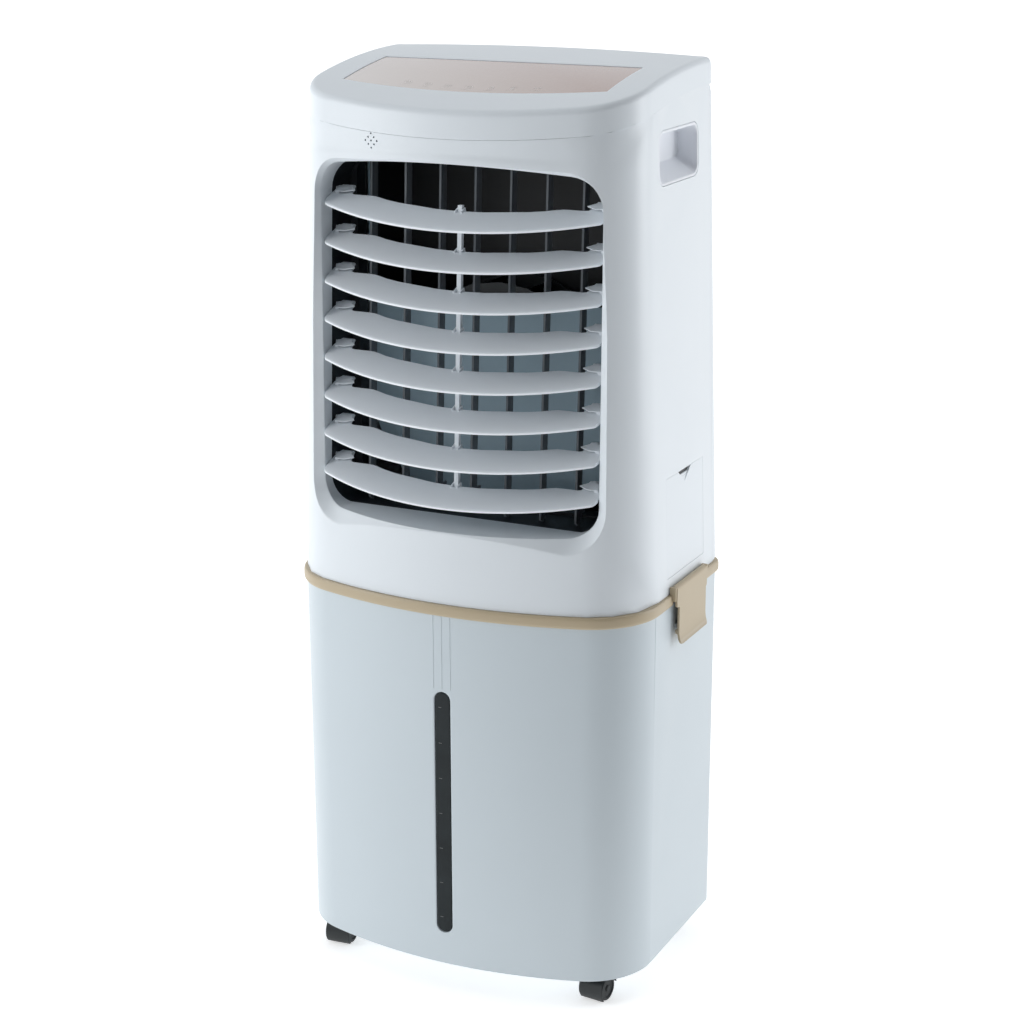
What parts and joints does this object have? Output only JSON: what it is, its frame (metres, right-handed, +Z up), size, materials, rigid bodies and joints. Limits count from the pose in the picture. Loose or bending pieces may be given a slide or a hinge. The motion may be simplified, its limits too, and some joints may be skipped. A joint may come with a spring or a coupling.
{
  "type": "evaporative cooler",
  "caption": "Tall evaporative air cooler on casters: water tank with a level window below, latched lift-off blower head with louvred outlet above.",
  "frame": {"origin": "on the floor under the centre of the bounding box, where the casters stand", "axes": "+Z up, -Y out of the air outlet, +X to the right of someone facing the outlet"},
  "size_m": [0.48, 0.3203, 1.1079],
  "materials": {
    "white_shell": "satin-gloss moulded plastic, cool white",
    "smoke_window": "smoked clear plastic",
    "black_plastic": "moulded",
    "tan_trim": "satin moulded, sand colour",
    "steel": "brushed",
    "rose_glass": "glossy rose-champagne panel",
    "circuit_board": "lacquered board",
    "light_grey": "moulded",
    "dark_plastic": "moulded",
    "duct_grey": "moulded, blue-grey",
    "pad_paper": "fluted paper honeycomb",
    "hose_rubber": "smooth",
    "filter_mesh": "woven nylon net",
    "louvre_grey": "satin moulded, pale blue-grey",
    "wheel_black": "moulded nylon tread"
  },
  "bodies": {
    "tank": {"tank_body": "white_shell", "tank_front_cover": "white_shell", "level_window": "smoke_window"},
    "level_float": {"level_float": "black_plastic"},
    "drain_plug": {"drain_plug": "black_plastic"},
    "head": {"belt_trim": "tan_trim", "latch_pin_right": "steel", "latch_pin_left": "steel", "front_shell": "white_shell", "rear_shell": "white_shell", "top_cover": "white_shell", "control_panel": "rose_glass", "control_board": "circuit_board", "handle_cup_right": "light_grey", "handle_cup_left": "light_grey", "buzzer": "black_plastic", "base_pan": "light_grey", "fill_chute": "light_grey", "outlet_duct": "dark_plastic", "swing_motor": "steel", "blower_housing": "duct_grey", "fan_motor": "steel", "cooling_pad": "pad_paper", "water_distributor": "light_grey", "pump": "black_plastic", "pump_strainer": "dark_plastic", "pump_hose": "hose_rubber", "cord_gland": "black_plastic"},
    "latch_right": {"latch_right": "tan_trim"},
    "latch_left": {"latch_left": "tan_trim"},
    "fill_door": {"fill_door": "white_shell"},
    "blower_rotor": {"blower_wheel": "black_plastic", "blower_shaft": "steel"},
    "rear_grille": {"rear_grille": "white_shell", "dust_filter": "filter_mesh"},
    "louvre_tie_bar": {"louvre_tie_bar": "louvre_grey"},
    "vane_link_bar": {"vane_link_bar": "dark_plastic"},
    "louvre_1": {"louvre_1": "louvre_grey"},
    "louvre_2": {"louvre_2": "louvre_grey"},
    "louvre_3": {"louvre_3": "louvre_grey"},
    "louvre_4": {"louvre_4": "louvre_grey"},
    "louvre_5": {"louvre_5": "louvre_grey"},
    "louvre_6": {"louvre_6": "louvre_grey"},
    "louvre_7": {"louvre_7": "louvre_grey"},
    "louvre_8": {"louvre_8": "louvre_grey"},
    "vane_1": {"vane_1": "dark_plastic"},
    "vane_2": {"vane_2": "dark_plastic"},
    "vane_3": {"vane_3": "dark_plastic"},
    "vane_4": {"vane_4": "dark_plastic"},
    "vane_5": {"vane_5": "dark_plastic"},
    "vane_6": {"vane_6": "dark_plastic"},
    "vane_7": {"vane_7": "dark_plastic"},
    "caster_hood_front_right": {"caster_hood_front_right": "black_plastic"},
    "caster_wheels_front_right": {"caster_wheels_front_right": "wheel_black"},
    "caster_hood_front_left": {"caster_hood_front_left": "black_plastic"},
    "caster_wheels_front_left": {"caster_wheels_front_left": "wheel_black"},
    "caster_hood_back_right": {"caster_hood_back_right": "black_plastic"},
    "caster_wheels_back_right": {"caster_wheels_back_right": "wheel_black"},
    "caster_hood_back_left": {"caster_hood_back_left": "black_plastic"},
    "caster_wheels_back_left": {"caster_wheels_back_left": "wheel_black"}
  },
  "joints": [
    {"name": "head_lift", "type": "slide", "parent": "tank", "child": "head", "axis": [0, 0, 1], "range_m": [0, 0.12]},
    {"name": "latch_right_swing", "type": "hinge", "parent": "head", "child": "latch_right", "pos_m": [0.2316, 0.0425, 0.4995], "axis": [0, -1, 0], "range_deg": [0, 110]},
    {"name": "latch_left_swing", "type": "hinge", "parent": "head", "child": "latch_left", "pos_m": [-0.2316, 0.0425, 0.4995], "axis": [0, 1, 0], "range_deg": [0, 110]},
    {"name": "fill_door_tilt", "type": "hinge", "parent": "head", "child": "fill_door", "pos_m": [0.22479, 0.043, 0.517], "axis": [0, 1, 0], "range_deg": [0, 35]},
    {"name": "louvre_1_tilt", "type": "hinge", "parent": "head", "child": "louvre_1", "pos_m": [0, -0.06558, 0.95459], "axis": [1, 0, 0], "range_deg": [-30, 22]},
    {"name": "louvre_2_tilt", "type": "hinge", "parent": "head", "child": "louvre_2", "pos_m": [0, -0.0678, 0.90926], "axis": [1, 0, 0], "range_deg": [-30, 22]},
    {"name": "louvre_3_tilt", "type": "hinge", "parent": "head", "child": "louvre_3", "pos_m": [0, -0.07001, 0.86393], "axis": [1, 0, 0], "range_deg": [-30, 22]},
    {"name": "louvre_4_tilt", "type": "hinge", "parent": "head", "child": "louvre_4", "pos_m": [0, -0.07222, 0.8186], "axis": [1, 0, 0], "range_deg": [-30, 22]},
    {"name": "louvre_5_tilt", "type": "hinge", "parent": "head", "child": "louvre_5", "pos_m": [0, -0.07444, 0.77327], "axis": [1, 0, 0], "range_deg": [-30, 22]},
    {"name": "louvre_6_tilt", "type": "hinge", "parent": "head", "child": "louvre_6", "pos_m": [0, -0.07665, 0.72794], "axis": [1, 0, 0], "range_deg": [-30, 22]},
    {"name": "louvre_7_tilt", "type": "hinge", "parent": "head", "child": "louvre_7", "pos_m": [0, -0.07887, 0.68261], "axis": [1, 0, 0], "range_deg": [-30, 22]},
    {"name": "louvre_8_tilt", "type": "hinge", "parent": "head", "child": "louvre_8", "pos_m": [0, -0.08108, 0.63728], "axis": [1, 0, 0], "range_deg": [-30, 22]},
    {"name": "louvre_tie_bar_pin", "type": "hinge", "parent": "louvre_1", "child": "louvre_tie_bar", "pos_m": [0, -0.09518, 0.94382], "axis": [1, 0, 0], "range_deg": [-22, 30]},
    {"name": "vane_1_swing", "type": "hinge", "parent": "head", "child": "vane_1", "pos_m": [-0.135, -0.0595, 0.79], "axis": [0, 0.0476, 0.9989], "range_deg": [-35, 35]},
    {"name": "vane_2_swing", "type": "hinge", "parent": "head", "child": "vane_2", "pos_m": [-0.09, -0.0595, 0.79], "axis": [0, 0.0476, 0.9989], "range_deg": [-35, 35]},
    {"name": "vane_3_swing", "type": "hinge", "parent": "head", "child": "vane_3", "pos_m": [-0.045, -0.0595, 0.79], "axis": [0, 0.0476, 0.9989], "range_deg": [-35, 35]},
    {"name": "vane_4_swing", "type": "hinge", "parent": "head", "child": "vane_4", "pos_m": [0, -0.0595, 0.79], "axis": [0, 0.0476, 0.9989], "range_deg": [-35, 35]},
    {"name": "vane_5_swing", "type": "hinge", "parent": "head", "child": "vane_5", "pos_m": [0.045, -0.0595, 0.79], "axis": [0, 0.0476, 0.9989], "range_deg": [-35, 35]},
    {"name": "vane_6_swing", "type": "hinge", "parent": "head", "child": "vane_6", "pos_m": [0.09, -0.0595, 0.79], "axis": [0, 0.0476, 0.9989], "range_deg": [-35, 35]},
    {"name": "vane_7_swing", "type": "hinge", "parent": "head", "child": "vane_7", "pos_m": [0.135, -0.0595, 0.79], "axis": [0, 0.0476, 0.9989], "range_deg": [-35, 35]},
    {"name": "vane_link_bar_pin", "type": "hinge", "parent": "vane_4", "child": "vane_link_bar", "pos_m": [0, -0.05438, 0.60354], "axis": [0, 0.0476, 0.9989], "range_deg": [-35, 35]},
    {"name": "blower_spin", "type": "hinge", "parent": "head", "child": "blower_rotor", "pos_m": [0, 0.0395, 0.71], "axis": [0, 1, 0], "continuous": true},
    {"name": "rear_grille_pull", "type": "slide", "parent": "head", "child": "rear_grille", "axis": [0, 1, 0], "range_m": [0, 0.08]},
    {"name": "level_float_rise", "type": "slide", "parent": "tank", "child": "level_float", "axis": [0, 0, 1], "range_m": [0, 0.25]},
    {"name": "drain_plug_pull", "type": "slide", "parent": "tank", "child": "drain_plug", "axis": [0, 1, 0], "range_m": [0, 0.03]},
    {"name": "caster_swivel_front_right", "type": "hinge", "parent": "tank", "child": "caster_hood_front_right", "pos_m": [0.175, -0.1055, 0.05], "axis": [0, 0, 1], "continuous": true},
    {"name": "caster_roll_front_right", "type": "hinge", "parent": "caster_hood_front_right", "child": "caster_wheels_front_right", "pos_m": [0.17667, -0.09362, 0.015], "axis": [0.9903, -0.1392, 0], "continuous": true},
    {"name": "caster_swivel_front_left", "type": "hinge", "parent": "tank", "child": "caster_hood_front_left", "pos_m": [-0.175, -0.1055, 0.05], "axis": [0, 0, 1], "continuous": true},
    {"name": "caster_roll_front_left", "type": "hinge", "parent": "caster_hood_front_left", "child": "caster_wheels_front_left", "pos_m": [-0.17584, -0.09353, 0.015], "axis": [0.9976, 0.0698, 0], "continuous": true},
    {"name": "caster_swivel_back_right", "type": "hinge", "parent": "tank", "child": "caster_hood_back_right", "pos_m": [0.175, 0.1165, 0.05], "axis": [0, 0, 1], "continuous": true},
    {"name": "caster_roll_back_right", "type": "hinge", "parent": "caster_hood_back_right", "child": "caster_wheels_back_right", "pos_m": [0.17292, 0.10468, 0.015], "axis": [-0.9848, 0.1736, 0], "continuous": true},
    {"name": "caster_swivel_back_left", "type": "hinge", "parent": "tank", "child": "caster_hood_back_left", "pos_m": [-0.175, 0.1165, 0.05], "axis": [0, 0, 1], "continuous": true},
    {"name": "caster_roll_back_left", "type": "hinge", "parent": "caster_hood_back_left", "child": "caster_wheels_back_left", "pos_m": [-0.17189, 0.10491, 0.015], "axis": [-0.9659, -0.2588, 0], "continuous": true}
  ],
  "couplings": [
    {"joint": "louvre_2_tilt", "follows": "louvre_1_tilt", "ratio": 1},
    {"joint": "louvre_3_tilt", "follows": "louvre_1_tilt", "ratio": 1},
    {"joint": "louvre_4_tilt", "follows": "louvre_1_tilt", "ratio": 1},
    {"joint": "louvre_5_tilt", "follows": "louvre_1_tilt", "ratio": 1},
    {"joint": "louvre_6_tilt", "follows": "louvre_1_tilt", "ratio": 1},
    {"joint": "louvre_7_tilt", "follows": "louvre_1_tilt", "ratio": 1},
    {"joint": "louvre_8_tilt", "follows": "louvre_1_tilt", "ratio": 1},
    {"joint": "louvre_tie_bar_pin", "follows": "louvre_1_tilt", "ratio": -1},
    {"joint": "vane_1_swing", "follows": "vane_4_swing", "ratio": 1},
    {"joint": "vane_2_swing", "follows": "vane_4_swing", "ratio": 1},
    {"joint": "vane_3_swing", "follows": "vane_4_swing", "ratio": 1},
    {"joint": "vane_5_swing", "follows": "vane_4_swing", "ratio": 1},
    {"joint": "vane_6_swing", "follows": "vane_4_swing", "ratio": 1},
    {"joint": "vane_7_swing", "follows": "vane_4_swing", "ratio": 1},
    {"joint": "vane_link_bar_pin", "follows": "vane_4_swing", "ratio": -1}
  ]
}
